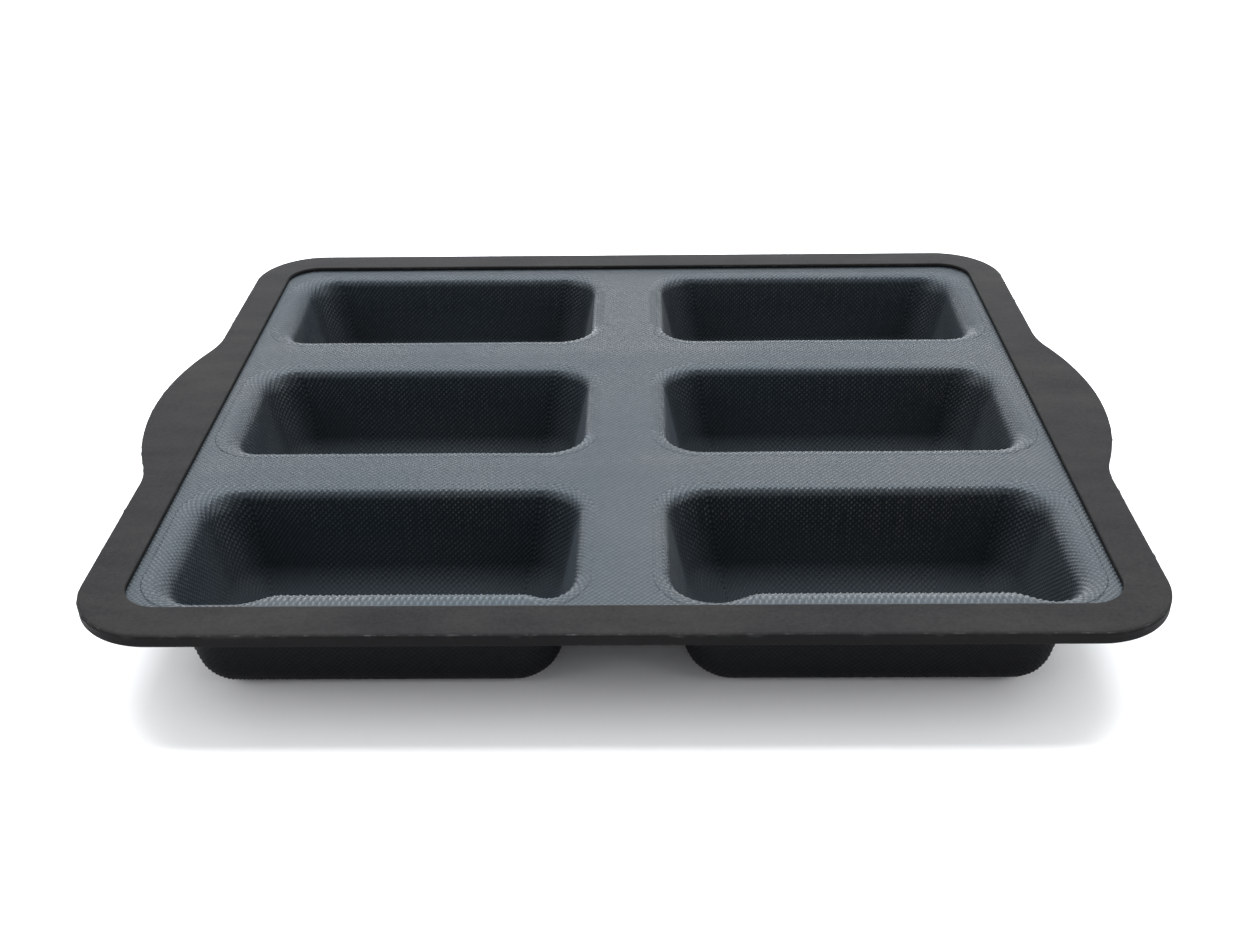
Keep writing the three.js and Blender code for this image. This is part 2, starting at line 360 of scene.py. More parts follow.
def cloth_material():
    """Blue-black silicone-coated yarn: satin on the crossings, duller in the gaps and low down. The
    crossings are lighter in colour, partly wear of the coating and partly a painted highlight, and
    low in the pockets the colour is darkened as painted shade.
    """
    n = Nodes("coated_cloth")
    knob = n.attribute("knob")
    patches = n.ramp(n.noise(13, 4), 0, 1, 0.38, 0.64)
    tint = n.colours(n.noise(14, 2), (0.004, 0.0075, 0.010), (0.006, 0.008, 0.010))
    # Lighter colour of the crossings: partly wear of the coating, partly a painted highlight.
    wear_and_highlight = n.colours(patches, (0.024, 0.035, 0.044), (0.050, 0.048, 0.046))
    top = n.ramp(n.maths("ADD", knob, n.ramp(n.noise(900, 2), -0.6, 0.6)), 0, 1, 0.15, 0.8)
    # Painted shade: low in the pockets the colour goes towards the dark gaps' colour.
    deep = n.ramp(n.height(), 0.75, 0, 3 * MM, 34 * MM)
    n.shade(Base_Color=n.blend(deep, n.blend(top, tint, wear_and_highlight), tint))
    gloss = n.ramp(n.maths("ADD", knob, n.ramp(patches, -0.4, 0.4)), 0.52, 0.32, -1, 1)
    low = n.ramp(n.height(), 0.42, 0, 3 * MM, 26 * MM)
    n.shade(Roughness=n.maths("ADD", gloss, low))
    strands = n.noise(3200, 2, stretch=(1, 0.35, 1))
    n.shade(Normal=n.bump(strands, 0.12 * MM, 0.5))
    n.shade(Specular_IOR_Level=0.36, Sheen_Weight=0.06, Sheen_Roughness=0.45)
    n.shade(Sheen_Tint=(0.75, 0.87, 1.0, 1), Specular_Tint=(0.80, 0.91, 1.0, 1))
    return n.material


def underside_material():
    """The cloth's underside, which has less of the coating's shine and little wear. Its colour is
    much darker than the upper side's, as painted shade on the pockets' outsides, and its crossings
    are lighter than its gaps.
    """
    n = Nodes("cloth_underside")
    knob = n.attribute("knob")
    patches = n.noise(38, 3)
    # Painted shade: these colours are kept darker than the upper side's so that the pockets' outsides
    # look shaded.
    raised = n.colours(patches, (0.004, 0.005, 0.006), (0.008, 0.009, 0.010))
    gaps = n.colours(n.noise(14, 2), (0.002, 0.0025, 0.003), (0.003, 0.0035, 0.004))
    top = n.ramp(n.maths("ADD", knob, n.ramp(n.noise(900, 2), -0.5, 0.5)), 0, 1, 0.1, 0.9)
    n.shade(Base_Color=n.blend(top, gaps, raised))
    n.shade(Roughness=n.ramp(knob, 0.62, 0.5, -1, 1))
    n.shade(Normal=n.bump(n.noise(3200, 2, stretch=(1, 0.35, 1)), 0.12 * MM, 0.5))
    n.shade(Specular_IOR_Level=0.1)
    return n.material


def silicone_material():
    """Matt charcoal silicone, lighter on top and darker at its sides, partly from dust on top and
    partly as painted light on the top and painted shade on the sides, with a lighter broken line
    along its edge.
    """
    n = Nodes("rim_silicone")
    clouds = n.noise(22, 4, 0.6)
    streaks = n.noise(90, 3, 0.6, stretch=(0.35, 1, 1))
    dust = n.ramp(n.maths("MULTIPLY", clouds, streaks), 0.15, 0.8, 0.08, 0.46)
    clean_shaded_side = n.colours(dust, (0.007, 0.0072, 0.0075), (0.011, 0.011, 0.011))
    specks = n.ramp(n.noise(900, 3, 0.7), -0.25, 0.25, 0.25, 0.75)
    dusty_lit_top = n.colours(n.maths("ADD", dust, specks), (0.010, 0.010, 0.011), (0.027, 0.026, 0.025))
    # Upward faces take the lighter colour and the sides the darker one: partly dust, partly painted
    # light and painted shade.
    facing = n.add("ShaderNodeSeparateXYZ")
    n.link(n.add("ShaderNodeTexCoord").outputs["Normal"], facing.inputs[0])
    body = n.blend(n.ramp(facing.outputs["Z"], 0, 1, 0.3, 0.9), clean_shaded_side, dusty_lit_top)
    # A lighter broken line along the top of the outer side.
    edge = RIM_TOP - RIM_TOP_FALL - LIGHT_LINE_BELOW_EDGE
    above = n.ramp(n.height(), 0, 1, edge - LIGHT_LINE_LOWER_WIDTH, edge)
    below = n.ramp(n.height(), 1, 0, edge, edge + LIGHT_LINE_UPPER_WIDTH)
    broken = n.ramp(n.noise(260, 4, 0.7), 0.1, 0.7, 0.5, 0.75)
    light_line = n.maths("MULTIPLY", n.maths("MULTIPLY", above, below), broken)
    light_line_colour = n.colours(broken, (0.05, 0.05, 0.05), (0.16, 0.16, 0.16))
    n.shade(Base_Color=n.blend(light_line, body, light_line_colour))
    n.shade(Roughness=n.ramp(clouds, 0.5, 0.6, 0.3, 0.7))
    grain = n.bump(n.noise(2600, 2), 0.05 * MM, 0.35)
    n.shade(Normal=n.bump(n.noise(160, 2), 0.3 * MM, 0.12, grain))
    n.shade(Specular_IOR_Level=0.02)
    return n.material


def steel_material():
    """Drawn stainless wire with fine lines along its length."""
    n = Nodes("drawn_wire")
    lines = n.noise(1800, 3, 0.6, stretch=(0.12, 0.12, 1))
    n.shade(Base_Color=n.colours(lines, (0.42, 0.42, 0.43), (0.62, 0.62, 0.63)))
    n.shade(Roughness=n.ramp(lines, 0.28, 0.45), Metallic=1.0)
    n.shade(Normal=n.bump(lines, 0.03 * MM, 0.4))
    return n.material


def floor_material():
    """Plain, pale and matt."""
    n = Nodes("studio_floor")
    n.shade(Base_Color=n.colours(n.noise(3, 2), (0.90, 0.90, 0.90), (0.92, 0.92, 0.92)))
    n.shade(Roughness=0.9, Specular_IOR_Level=0.1)
    return n.material


# ---- Silicone rim ---------------------------------------------------------------------


def arc(centre_x, centre_y, radius, start, end, spacing):
    """Points round an arc with the direction out of its centre, in degrees."""
    steps = max(3, math.ceil(abs(math.radians(end - start)) * radius / spacing))
    angles = np.radians(np.linspace(start, end, steps + 1))
    outward = np.stack([np.cos(angles), np.sin(angles)], 1)
    return np.array([centre_x, centre_y]) + radius * outward, outward


def stretch(first, last, outward, spacing):
    """Points along a straight side, without its ends."""
    steps = max(2, math.ceil(np.linalg.norm(np.subtract(last, first)) / spacing))
    along = np.linspace(0, 1, steps + 1)[1:-1, None]
    points = np.asarray(first) * (1 - along) + np.asarray(last) * along
    return points, np.tile(outward, (len(points), 1)).astype(float)


def rim_outline(spacing=1.2 * MM):
    """The rim's outer edge with its ears, anticlockwise from the left end of the front side.

    The second half is the first one turned by half a turn."""
    half_x, half_y, r = SIDE_X, rim_high.y, RIM_CORNER
    ear_centre = SIDE_X + EAR_REACH - EAR_RADIUS
    fillet_centre = SIDE_X + EAR_FILLET
    run = fillet_centre - ear_centre
    fillet_y = math.sqrt((EAR_RADIUS + EAR_FILLET) ** 2 - run**2)
    join = math.degrees(math.atan2(fillet_y, run))
    hollow_in, out_in = arc(fillet_centre, -fillet_y, EAR_FILLET, 180, 180 - join, spacing)
    crown, crown_out = arc(ear_centre, 0, EAR_RADIUS, -join, join, spacing)
    hollow_out, out_out = arc(fillet_centre, fillet_y, EAR_FILLET, 180 + join, 180, spacing)
    half = [
        stretch((r - half_x, -half_y), (half_x - r, -half_y), (0, -1), spacing),
        arc(half_x - r, r - half_y, r, -90, 0, spacing),
        stretch((half_x, r - half_y), (half_x, -fillet_y), (1, 0), spacing),
        (hollow_in, -out_in),
        (crown[1:-1], crown_out[1:-1]),
        (hollow_out, -out_out),
        stretch((half_x, fillet_y), (half_x, half_y - r), (1, 0), spacing),
        arc(half_x - r, half_y - r, r, 0, 90, spacing),
    ]
    points = np.concatenate([part[0] for part in half])
    outward = np.concatenate([part[1] for part in half])
    return np.concatenate([points, -points]), np.concatenate([outward, -outward])


def rim_widths(points, outward):
    """The rim's width at each station, square to its outer edge."""
    in_ear = np.abs(points[:, 0]) > SIDE_X + 1e-7
    slant = np.where(in_ear, 1 / np.maximum(np.abs(outward[:, 0]), 0.5), 1.0)
    return np.where(in_ear, (np.abs(points[:, 0]) - INNER_X) * slant, RIM_WIDTH)


def bend(share, inset, height, radius, start, end, steps=5):
    """A rounded edge of the rim's section. A point is (share of the width, inset, height)."""
    angles = np.radians(np.linspace(start, end, steps + 1))
    return [(share, inset + radius * math.cos(a), height + radius * math.sin(a)) for a in angles]


def rim_section():
    """The rim's section, from the foot of its outer side up, over the top and back below."""
    top, low = RIM_TOP, RIM_BOTTOM
    outer_top = top - RIM_TOP_FALL
    lip, inner, foot, corner = RIM_TOP_EDGE, RIM_INNER_EDGE, RIM_FOOT_EDGE, SLOT_EDGE
    slot_top, slot_low = CLOTH_TOP + SLOT_PLAY, CLOTH_TOP - CLOTH_THICKNESS - SLOT_PLAY
    side_low, side_top = low + foot + 1 * MM, outer_top - lip - 0.6 * MM
    top_steps, low_steps = 12, 6
    rows = bend(0, foot, low + foot, foot, 270, 180)
    rows += [(0, 0.0, side_low), (0, 0.0, side_top)]
    rows += bend(0, lip, outer_top - lip, lip, 180, 90)
    for share in np.arange(1, top_steps) / top_steps:
        rows.append((share, 0.0, outer_top + RIM_TOP_FALL * share))
    rows += bend(1, -inner, top - inner, inner, 90, 0)
    rows += bend(1, -corner, slot_top + corner, corner, 0, -90, 3)
    rows += [(1, -SLOT_DEPTH, slot_top), (1, -SLOT_DEPTH, slot_low)]
    rows += bend(1, -corner, slot_low - corner, corner, 90, 0, 3)
    rows += bend(1, -foot, low + foot, foot, 0, -90)
    rows += [(k / low_steps, 0.0, low) for k in range(low_steps - 1, 0, -1)]
    return np.array(rows)


def sweep_rim(rows, swell=None):
    """Carries a section round the outline. swell moves its points a little."""
    points, outward = rim_outline()
    width = rim_widths(points, outward)
    inset = rows[None, :, 0] * width[:, None] + rows[None, :, 1]
    height = np.broadcast_to(rows[None, :, 2], inset.shape).copy()
    if swell is not None:
        inset, height = swell(points, inset, height)
    plan = points[:, None, :] - inset[..., None] * outward[:, None, :]
    solid = np.concatenate([plan, height[..., None]], -1)
    count = len(rows)
    quads = ring_quads(len(points), count, closed=True)[:, ::-1]
    return solid.reshape(-1, 3), quads


def rim_unevenness(points, inset, height):
    """Moulded waviness, and the thin broken flash line along the top of the outer side."""
    x, y = points[:, :1], points[:, 1:]
    size, wavelength, seed = RIM_WAVES
    upper_part = height > RIM_BOTTOM + 2 * MM
    height = height + size * waves(x, y, wavelength, seed) * upper_part

    station = np.arange(len(points))
    size, wavelength, seed = FLASH_WAVES
    ridge = FLASH_HEIGHT + size * waves(station, 0, wavelength, seed)
    rng = np.random.default_rng(SPECK_SEED)
    for place in rng.integers(0, len(points), FLASH_SPECKS):
        ridge += bell(station, rng.uniform(*SPECK_HEIGHTS), place, SPECK_WIDTH)
    parting = RIM_TOP - RIM_TOP_FALL - FLASH_BELOW_EDGE
    outer_side = inset < 0.4 * MM
    near = bell(height, 1, parting, FLASH_WIDTH) * outer_side
    return inset - ridge[:, None] * near, height


def pin_hole_places():
    """Under the wire: one hole in each ear and two on each of the rim's four sides."""
    back, side = rim_high.y - WIRE_INSET, SIDE_X - WIRE_INSET
    places = [(to_right * (side + EAR_REACH), 0) for to_right in (-1, 1)]
    for to_right in (-1, 1):
        for to_back in (-1, 1):
            places += [(to_right * PIN_HOLE_X, to_back * back)]
            places += [(to_right * side, to_back * PIN_HOLE_Y)]
    return places


def cut_pin_holes(rim):
    """Cuts the blind holes up to the wire with one exact boolean, and applies it."""
    cutter_mesh = bpy.data.meshes.new("pin_cutter")
    shape = bmesh.new()
    reach = WIRE_HEIGHT - WIRE_RADIUS * PIN_HOLE_STOP - RIM_BOTTOM
    below = 1 * MM  # how far the cutters start below the rim
    for x, y in pin_hole_places():
        place = Matrix.Translation((x, y, RIM_BOTTOM + (reach - below) / 2))
        bmesh.ops.create_cone(
            shape,
            cap_ends=True,
            segments=40,
            radius1=PIN_HOLE_RADIUS * PIN_HOLE_TAPER,
            radius2=PIN_HOLE_RADIUS,
            depth=reach + below,
            matrix=place,
        )
    shape.to_mesh(cutter_mesh)
    shape.free()
    cutter = bpy.data.objects.new("pin_cutter", cutter_mesh)
    bpy.context.scene.collection.objects.link(cutter)
    cut = rim.modifiers.new("pins", "BOOLEAN")
    cut.operation, cut.solver, cut.object = "DIFFERENCE", "EXACT", cutter
    result = bpy.data.meshes.new_from_object(
        rim.evaluated_get(bpy.context.evaluated_depsgraph_get())
    )
    rim.modifiers.clear()
    rim.data = result
    bpy.data.objects.remove(cutter)
    rim.data.set_sharp_from_angle(angle=math.radians(50))


def build_rim():
    """The rim with both ears, the cloth's slot and the wire-support holes."""
    points, quads = sweep_rim(rim_section(), rim_unevenness)
    rim = make_piece("rim", points, quads, [silicone_material()], ["silicone_rim"])
    cut_pin_holes(rim)


def build_wire():
    """The closed wire loop inside the rim, with a round section."""
    sides = 28
    angles = np.linspace(0, 2 * math.pi, sides, endpoint=False)
    rows = np.stack(
        [
            np.zeros(sides),
            WIRE_INSET - WIRE_RADIUS * np.cos(angles),
            WIRE_HEIGHT + WIRE_RADIUS * np.sin(angles),
        ],
        1,
    )
    points, quads = sweep_rim(rows)
    make_piece("wire_frame", points, quads, [steel_material()], ["steel_frame"])


# ---- Formed cloth ---------------------------------------------------------------------


def weave(across, along):
    """Plain weave: 1 on a crossing that stands up, -1 on one that lies below."""
    turn = 2 * math.pi / LINES_PER_KNOB
    return np.cos(turn * across) * np.cos(turn * along)


def uneven(x, y):
    """The share of their usual height that the crossings have at a place."""
    size, wavelength, seed = KNOB_UNEVEN
    return 1 + size * waves(x, y, wavelength, seed)


def cloth_sag(x, y):
    """Slow unevenness of the whole cloth, the same for every piece of it.

    The strips between the rows are crowned, and fine creases run along the strips."""
    height = sum(size * waves(x, y, wavelength, seed) for size, wavelength, seed in SAG_WAVES)

    end, width = ROW_STRIP
    size, wavelength, seed = ROW_CREASES
    for way in (-1, 1):
        off = y - MIDDLE_ROW_Y - way * ROW_PITCH / 2
        on_strip = smooth(end - np.abs(off) / width)
        height = height + bell(off, CROWN, 0, width)
        height = height + size * on_strip * waves(x * CREASE_STRETCH, y, wavelength, seed)

    end, width = MIDDLE_STRIP
    size, wavelength, seed = MIDDLE_CREASES
    on_strip = smooth(end - np.abs(x) / width)
    height = height + size * on_strip * waves(x, y * CREASE_STRETCH, wavelength, seed)

    from_rim = np.minimum(INNER_X - np.abs(x), INNER_Y - np.abs(y))
    return height * smooth(from_rim / SAG_FROM_RIM)


def wall_profile(shape, rows=None):
    """(inset, depth, slope) at even steps down a pocket's face, from the lip to the floor.

    slope is the angle of the face below the horizontal."""
    draft, lip, floor = shape
    sweep = math.pi / 2 - draft
    wall = (POCKET_DEPTH - (lip + floor) * (1 - math.sin(draft))) / math.cos(draft)
    total = (lip + floor) * sweep + wall
    rows = rows or round(total / STEP)
    s = (np.arange(rows) + 0.5) * total / rows
    lip_turn = np.clip(s / lip, 0, sweep)
    down = np.clip(s - lip * sweep, 0, wall)
    floor_turn = np.clip((s - lip * sweep - wall) / floor, 0, sweep)
    inset = lip * np.sin(lip_turn) + down * math.sin(draft)
    inset += floor * (math.cos(draft) - np.cos(draft + floor_turn))
    depth = lip * (1 - np.cos(lip_turn)) + down * math.cos(draft)
    depth += floor * (np.sin(draft + floor_turn) - math.sin(draft))
    return inset, depth, lip_turn - floor_turn


def pocket_columns():
    """The lines down a pocket's walls, anticlockwise from the front of its right end.

    Each has its side, from 0 for the right end round to 3 for the front, its number along
    that side from the middle, and its turn round the corner after the side, from 0 to 1."""
    lines = []
    for side in range(4):
        half = END_LINES if side % 2 == 0 else LONG_LINES
        lines += [(side, k, 0.0) for k in range(-half, half + 1)]
        lines += [(side, half + k, k / (CORNER_LINES + 1)) for k in range(1, CORNER_LINES + 1)]
    side, number, turn = np.array(lines).T
    return side.astype(int), number, turn


def pocket_plan(side, number, turn, half_x, half_y, corner):
    """Where each line crosses each ring, and the lines' outward directions.

    Lines on a long side keep their place, and crowd a little towards its ends lower down."""
    angle = math.pi / 2 * (side + turn)
    outward = np.stack([np.cos(angle), np.sin(angle)], 1)
    corner_x = np.where((side == 0) | (side == 3), 1, -1) * (half_x - corner)
    corner_y = np.where(side < 2, 1, -1) * (half_y - corner)
    way = np.where((side == 0) | (side == 3), 1, -1)
    reach = np.abs(number) * STEP_X
    beyond = reach - LINES_HOLD
    crowd = (half_x - corner - LINES_HOLD) / (half_x[FLANGE_ROWS] - POCKET_CORNER - LINES_HOLD)
    reach = np.where(beyond > 0, LINES_HOLD + beyond * crowd, reach)
    along_x = way * np.sign(number) * reach
    along_y = way * number * np.minimum(STEP_Y, (half_y - corner) / END_LINES)
    straight, on_end = turn == 0, side % 2 == 0
    x = np.where(straight & ~on_end, along_x, outward[:, 0] * half_x)
    y = np.where(straight & on_end, along_y, outward[:, 1] * half_y)
    x = np.where(straight, x, corner_x + corner * outward[:, 0])
    y = np.where(straight, y, corner_y + corner * outward[:, 1])
    return x, y, outward


def lean_lip(x, y, down, run, front):
    """Leans the near lip of a front pocket in over its middle, with a soft roll along it.

    front is how far each line belongs to the front side, x is from the lean's middle and run
    is how far down the pocket's face each ring lies. Returns y, down and the share of their
    usual height that the crossings have."""
    middle = front * smooth((LIP_BOW_HALF - np.abs(x)) / LIP_BOW_END)
    run = run[:, None]
    fade = smooth(run / LIP_BOW_START) * smooth(1 - (down - LIP_BOW_FULL) / LIP_BOW_DEPTH)
    y = y + LIP_BOW * middle * fade
    down = down - middle * (bell(run, *LIP_ROLL) - bell(run, *LIP_GROOVE))
    return y, down, 1 + middle * bell(run, *LIP_BEADS)


def pocket_rings(half_length, half_width, row, column):
    """Points, normals and weave of a pocket's upper face, from its flange down to its floor."""
    side, number, turn = pocket_columns()
    rows = len(wall_profile(LONG_WALL)[0])
    run = (np.arange(-FLANGE_ROWS, rows) + 0.5) * STEP

    def with_flange(shape):
        inset, depth, slope = wall_profile(shape, rows)
        level = np.zeros(FLANGE_ROWS)
        return [
            np.concatenate(pair)[:, None]
            for pair in ((run[:FLANGE_ROWS], inset), (level, depth), (level, slope))
        ]

    long_in, long_down, long_slope = with_flange(LONG_WALL)
    to_right = (side == 0) | ((side == 3) & (number > 0)) | ((side == 1) & (number <= 0))
    inner, outer = with_flange(INNER_END_WALL), with_flange(END_WALL)
    is_inner = to_right == (column == "left")
    end_in, end_down, end_slope = (np.where(is_inner, a, b) for a, b in zip(inner, outer))
    ended = smooth(np.where(side % 2 == 0, 1 - turn, turn))
    corner = POCKET_CORNER - long_in * (POCKET_CORNER - POCKET_FLOOR_CORNER) / long_in[-1]
    x, y, outward = pocket_plan(
        side, number, turn, half_length - end_in, half_width - long_in, corner
    )
    down = long_down * (1 - ended) + end_down * ended
    slope = long_slope * (1 - ended) + end_slope * ended
    beads = 1
    if row == "front":
        front = np.where(side == 3, 1 - turn, np.where(side == 2, turn, 0))
        y, down, beads = lean_lip(x - LIP_BOW_SHIFT[column], y, down, run, front)
    points = np.stack([x, y, CLOTH_TOP - down], -1)
    lean = np.sin(slope)
    normals = np.stack([-outward[:, 0] * lean, -outward[:, 1] * lean, np.cos(slope)], -1)

    # The rows of crossings carry on from the web's, on the long sides and on the ends.
    long_count, end_count = half_width / STEP_Y, half_length / STEP_X
    half_knob = LINES_PER_KNOB / 2
    shift = (end_count - long_count + half_knob) % LINES_PER_KNOB - half_knob
    along = long_count + shift * ended - run[:, None] / STEP
    return points, normals, weave(number[None, :], along) * beads


def pocket_floor(ring):
    """A grid that fills the last ring, and for its edge the ring's own point numbers.

    The four sides of the grid meet the ring half way round its corners."""
    wide = 2 * LONG_LINES + CORNER_LINES + 2
    deep = 2 * END_LINES + CORNER_LINES + 2
    total = len(ring)
    first = 2 * END_LINES + (CORNER_LINES + 1) // 2
    i, j = np.arange(wide), np.arange(deep)
    back = (first + wide - 1 - i) % total
    left = (first + wide - 1 + deep - 1 - j) % total
    front = (first + wide - 1 + deep - 1 + i) % total
    right = (first + 2 * (wide - 1) + deep - 1 + j) % total

    u, v = (i / (wide - 1))[None, :, None], (j / (deep - 1))[:, None, None]
    edges = (1 - v) * ring[front] + v * ring[back]
    edges = edges + (1 - u) * ring[left][:, None] + u * ring[right][:, None]
    edges = edges - (1 - u) * (1 - v) * ring[front[0]] - u * (1 - v) * ring[front[-1]]
    patch = edges - (1 - u) * v * ring[back[0]] - u * v * ring[back[-1]]

    # Away from its edge the grid is even, as the weave is.
    low = ring.min(0)
    length, width, _ = ring.max(0) - low
    even = np.concatenate([low[0] + u * length + 0 * v, low[1] + v * width + 0 * u], -1)
    gap = np.minimum(np.minimum(u, 1 - u) * length, np.minimum(v, 1 - v) * width)
    inside = smooth(gap / FLOOR_BLEND)
    patch[..., :2] = patch[..., :2] * (1 - inside) + even * inside
    count_x = i - (wide - 1) / 2
    count_y = j - (deep - 1) / 2
    return patch, weave(count_x[None, :], count_y[:, None]), (front, right, back, left)


def spacing(points):
    """How far a point lies from the next in its row, as a share of the weave's spacing."""
    gap = np.linalg.norm(np.roll(points, -1, 1) - points, axis=-1)
    return np.minimum(gap, np.roll(gap, 1, 1)) / STEP


def underside(count, edge_count):
    """The material of each quad, for count quads above, as many below and then the edges."""
    return np.repeat([0, 1, 0], [count, count, edge_count])


def settle(points):
    """Adds the cloth's slow unevenness, which dies away towards the pocket floors."""
    share = np.clip(points[:, 2] / CLOTH_TOP, 0, 1)
    points[:, 2] += share * cloth_sag(points[:, 0], points[:, 1])
    return points


def build_pocket(name, materials):
    """One pocket with its flange, woven on both sides of the cloth."""
    low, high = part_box(name)
    centre = (low + high) / 2
    half_length, half_width = (high.x - low.x) / 2, (high.y - low.y) / 2
    _, row, column = name.split("_")
    points, normals, woven = pocket_rings(half_length, half_width, row, column)
    rings, columns = woven.shape
    floor, floor_woven, (front, right, back, left) = pocket_floor(points[-1])
    deep, wide = floor_woven.shape

    # Point numbers: the rings first, then the floor's inner points.
    numbers = np.empty((deep, wide), int)
    last = (rings - 1) * columns
    numbers[0], numbers[-1] = last + front, last + back
    numbers[:, 0], numbers[:, -1] = last + left, last + right
    numbers[1:-1, 1:-1] = rings * columns + np.arange((deep - 2) * (wide - 2)).reshape(deep - 2, -1)
    floor_quads = np.stack(
        [numbers[:-1, :-1], numbers[:-1, 1:], numbers[1:, 1:], numbers[1:, :-1]], -1
    ).reshape(-1, 4)
    quads = np.concatenate([ring_quads(rings, columns), floor_quads])

    tight = np.clip(spacing(points) / FULL_SPACING, 0, 1)
    floor_tight = np.clip(spacing(floor) / FULL_SPACING, 0, 1)
    inner = (slice(1, -1), slice(1, -1))
    lift = np.concatenate([(woven * tight).ravel(), (floor_woven * floor_tight)[inner].ravel()])
    flat = np.tile([0.0, 0.0, 1.0], ((deep - 2) * (wide - 2), 1))
    normals = np.concatenate([normals.reshape(-1, 3), flat])
    face = np.concatenate([points.reshape(-1, 3), floor[inner].reshape(-1, 3)])
    face[:, 0] += centre.x
    face[:, 1] += centre.y
    lift *= uneven(face[:, 0], face[:, 1])

    # The flange lies just proud of the web, and its outermost ring dips into it.
    proud = np.zeros(len(face))
    proud[: FLANGE_ROWS * columns] = FLANGE_PROUD
    proud[:columns] = -FLANGE_DIP
    upper = face + normals * (KNOB_HEIGHT * lift + proud)[:, None]
    under = face + normals * (KNOB_HEIGHT * lift - CLOTH_THICKNESS - proud)[:, None]
    count = len(face)
    edge = np.arange(columns)
    after = (edge + 1) % columns
    rim_quads = np.stack([edge, edge + count, after + count, after], 1)
    all_quads = np.concatenate([quads, quads[:, ::-1] + count, rim_quads])
    piece = make_piece(
        name.replace("pocket", "cloth_pocket"),
        settle(np.concatenate([upper, under])),
        all_quads,
        materials,
        [name],
        underside(len(quads), len(rim_quads)),
    )
    add_attribute(piece, "knob", np.concatenate([lift, -lift]))


def beyond_pocket(x, y, centre_x, centre_y, half_length, half_width):
    """How far a point lies outside a pocket's rounded outline."""
    off_x = np.abs(x - centre_x) - (half_length - POCKET_CORNER)
    off_y = np.abs(y - centre_y) - (half_width - POCKET_CORNER)
    outside = np.hypot(np.maximum(off_x, 0), np.maximum(off_y, 0))
    return outside + np.minimum(np.maximum(off_x, off_y), 0) - POCKET_CORNER


def under_corner(x, y, centre, half):
    """1 on the web under a pocket's rounded corner and 0 elsewhere, with a soft edge."""
    off_x = np.abs(x - centre.x) - (half.x - POCKET_CORNER)
    off_y = np.abs(y - centre.y) - (half.y - POCKET_CORNER)
    gap = beyond_pocket(x, y, centre.x, centre.y, half.x, half.y)
    near = 1 - smooth((gap - WEB_EDGE_START) / WEB_EDGE_WIDTH)
    return near * smooth(np.minimum(off_x, off_y) / WEB_EDGE_END)


def build_web(materials):
    """The flat cloth between the pockets, as far as it reaches into the rim's slot."""
    reach_x, reach_y = INNER_X + WEB_TUCK, INNER_Y + WEB_TUCK
    lines_x = np.arange(math.ceil(-reach_x / STEP_X), math.floor(reach_x / STEP_X) + 1)
    low_y, high_y = (-reach_y - MIDDLE_ROW_Y) / STEP_Y, (reach_y - MIDDLE_ROW_Y) / STEP_Y
    lines_y = np.arange(math.ceil(low_y), math.floor(high_y) + 1)
    x, y = np.meshgrid(lines_x * STEP_X, MIDDLE_ROW_Y + lines_y * STEP_Y)
    middle_x, middle_y = x[:-1, :-1] + STEP_X / 2, y[:-1, :-1] + STEP_Y / 2
    keep = np.ones(middle_x.shape, bool)
    buried = np.zeros(x.shape)
    for name in POCKETS:
        low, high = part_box(name)
        centre, half = (low + high) / 2, (high - low) / 2
        gap = beyond_pocket(middle_x, middle_y, centre.x, centre.y, half.x, half.y)
        keep &= gap > WEB_STARTS
        buried = np.maximum(buried, under_corner(x, y, centre, half))
    corner = RIM_CORNER - RIM_WIDTH
    off_x = np.maximum(np.abs(middle_x) - (INNER_X - corner), 0)
    off_y = np.maximum(np.abs(middle_y) - (INNER_Y - corner), 0)
    keep &= np.hypot(off_x, off_y) < corner + WEB_TUCK

    # Point numbers of the kept cells, and the cell sides that have no kept neighbour.
    deep, wide = x.shape
    numbers = np.arange(deep * wide).reshape(deep, wide)
    cell = np.stack([numbers[:-1, :-1], numbers[:-1, 1:], numbers[1:, 1:], numbers[1:, :-1]], -1)
    padded = np.pad(keep, 1)
    walls = []
    sides = (
        (padded[:-2, 1:-1], 0, 1),
        (padded[1:-1, 2:], 1, 2),
        (padded[2:, 1:-1], 2, 3),
        (padded[1:-1, :-2], 3, 0),
    )
    for neighbour, a, b in sides:
        bare = keep & ~neighbour
        walls.append(np.stack([cell[bare][:, a], cell[bare][:, b]], 1))
    walls = np.concatenate(walls)
    top = cell[keep]
    used = np.unique(top)
    place = np.full(deep * wide, -1)
    place[used] = np.arange(len(used))
    top, walls = place[top], place[walls]
    count = len(used)

    plan = np.stack([x.ravel()[used], y.ravel()[used]], 1)
    knob = weave(lines_x[None, :], lines_y[:, None]).ravel()[used] * uneven(*plan.T)
    buried = buried.ravel()[used]
    knob = knob * (1 - buried)
    height = KNOB_HEIGHT * knob - WEB_EDGE_DIP * buried
    upper = np.column_stack([plan, CLOTH_TOP + height])
    under = np.column_stack([plan, CLOTH_TOP - CLOTH_THICKNESS + height])
    wall_quads = np.stack([walls[:, 1], walls[:, 0], walls[:, 0] + count, walls[:, 1] + count], 1)
    quads = np.concatenate([top, top[:, ::-1] + count, wall_quads])
    web = make_piece(
        "cloth_flat",
        settle(np.concatenate([upper, under])),
        quads,
        materials,
        ["cloth_web"],
        underside(len(top), len(wall_quads)),
    )
    add_attribute(web, "knob", np.concatenate([knob, -knob]))


# ---- Studio ---------------------------------------------------------------------------


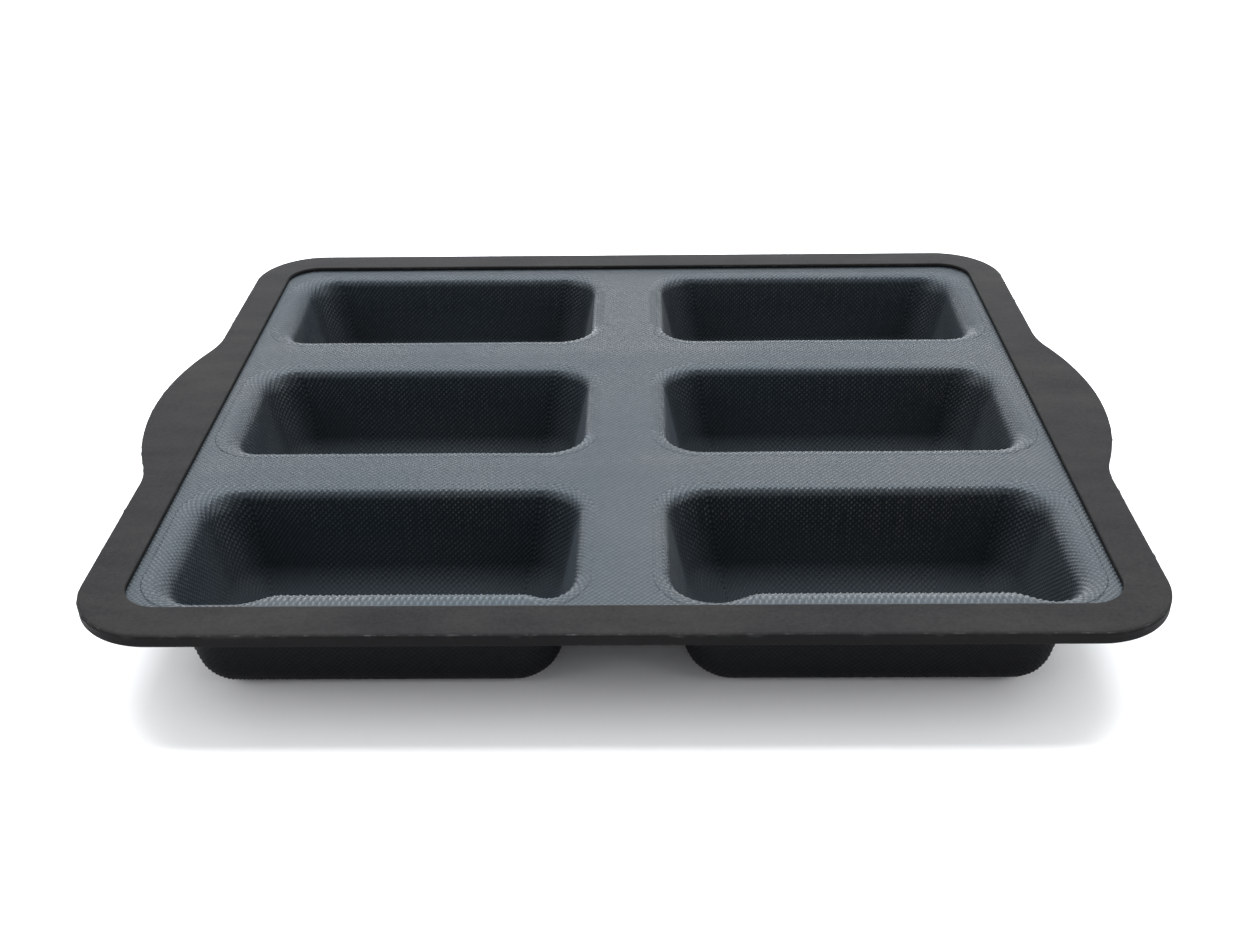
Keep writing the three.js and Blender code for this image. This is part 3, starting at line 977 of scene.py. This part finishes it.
def area_light(name, place, target, size_x, size_y, watts, colour=(1, 1, 1)):
    """A rectangular softbox at a place, turned to face its target."""
    light = bpy.data.lights.new(name, "AREA")
    light.shape, light.size, light.size_y = "RECTANGLE", size_x, size_y
    light.energy, light.color = watts, colour
    lamp = bpy.data.objects.new(name, light)
    lamp.location = place
    lamp.rotation_mode = "QUATERNION"
    lamp.rotation_quaternion = (Vector(target) - Vector(place)).to_track_quat("-Z", "Y")
    bpy.context.scene.collection.objects.link(lamp)


def build_studio():
    """A plain pale floor and world, and five softboxes."""
    mesh = bpy.data.meshes.new("floor")
    shape = bmesh.new()
    bmesh.ops.create_grid(shape, x_segments=1, y_segments=1, size=FLOOR_HALF)
    shape.to_mesh(mesh)
    shape.free()
    floor = bpy.data.objects.new("floor", mesh)
    floor.location.z = -FLOOR_DROP
    mesh.materials.append(floor_material())
    bpy.context.scene.collection.objects.link(floor)

    world = bpy.data.worlds.new("studio")
    world.use_nodes = True
    background = world.node_tree.nodes["Background"]
    background.inputs["Color"].default_value = (0.95, 0.97, 1.0, 1)
    background.inputs["Strength"].default_value = 0.58
    bpy.context.scene.world = world
    centre = (0, 0, 0.03)
    cool, faintly_cool = (0.93, 0.97, 1), (0.97, 0.98, 1)
    area_light("low_back_softbox", (0, 1.5, 0.28), centre, 3.2, 0.42, 19, cool)
    area_light("back_softbox", (0, 1.02, 1.36), centre, 2.8, 1.2, 49, cool)
    area_light("top_softbox", (0, 0.1, 1.5), centre, 1.7, 0.36, 30, faintly_cool)
    for way, name in ((-1, "left_softbox"), (1, "right_softbox")):
        area_light(name, (1.5 * way, -0.7, 1.1), (0, -0.2, 0), 1.3, 1.1, 16)


def build_camera():
    """The product view: from beyond the front side, looking down at about 30 degrees."""
    pitch, yaw, roll = CAMERA_PITCH, CAMERA_YAW, CAMERA_ROLL
    ahead = Vector(
        (math.sin(yaw) * math.cos(pitch), math.cos(yaw) * math.cos(pitch), -math.sin(pitch))
    )
    right = Vector((math.cos(yaw), -math.sin(yaw), 0))
    down = ahead.cross(right)
    turned_right = math.cos(roll) * right + math.sin(roll) * down
    turned_down = math.cos(roll) * down - math.sin(roll) * right
    camera = bpy.data.objects.new("camera", bpy.data.cameras.new("camera"))
    axes = Matrix((turned_right, -turned_down, -ahead)).transposed().to_4x4()
    camera.matrix_world = Matrix.Translation(CAMERA_PLACE) @ axes
    camera.data.lens = CAMERA_LENS
    camera.data.clip_start = 10 * MM
    bpy.context.scene.collection.objects.link(camera)
    bpy.context.scene.camera = camera


build_rim()
build_wire()
cloth = (cloth_material(), underside_material())
build_web(cloth)
for pocket_name in POCKETS:
    build_pocket(pocket_name, cloth)
build_studio()
build_camera()
bpy.context.scene.view_settings.view_transform = "Standard"
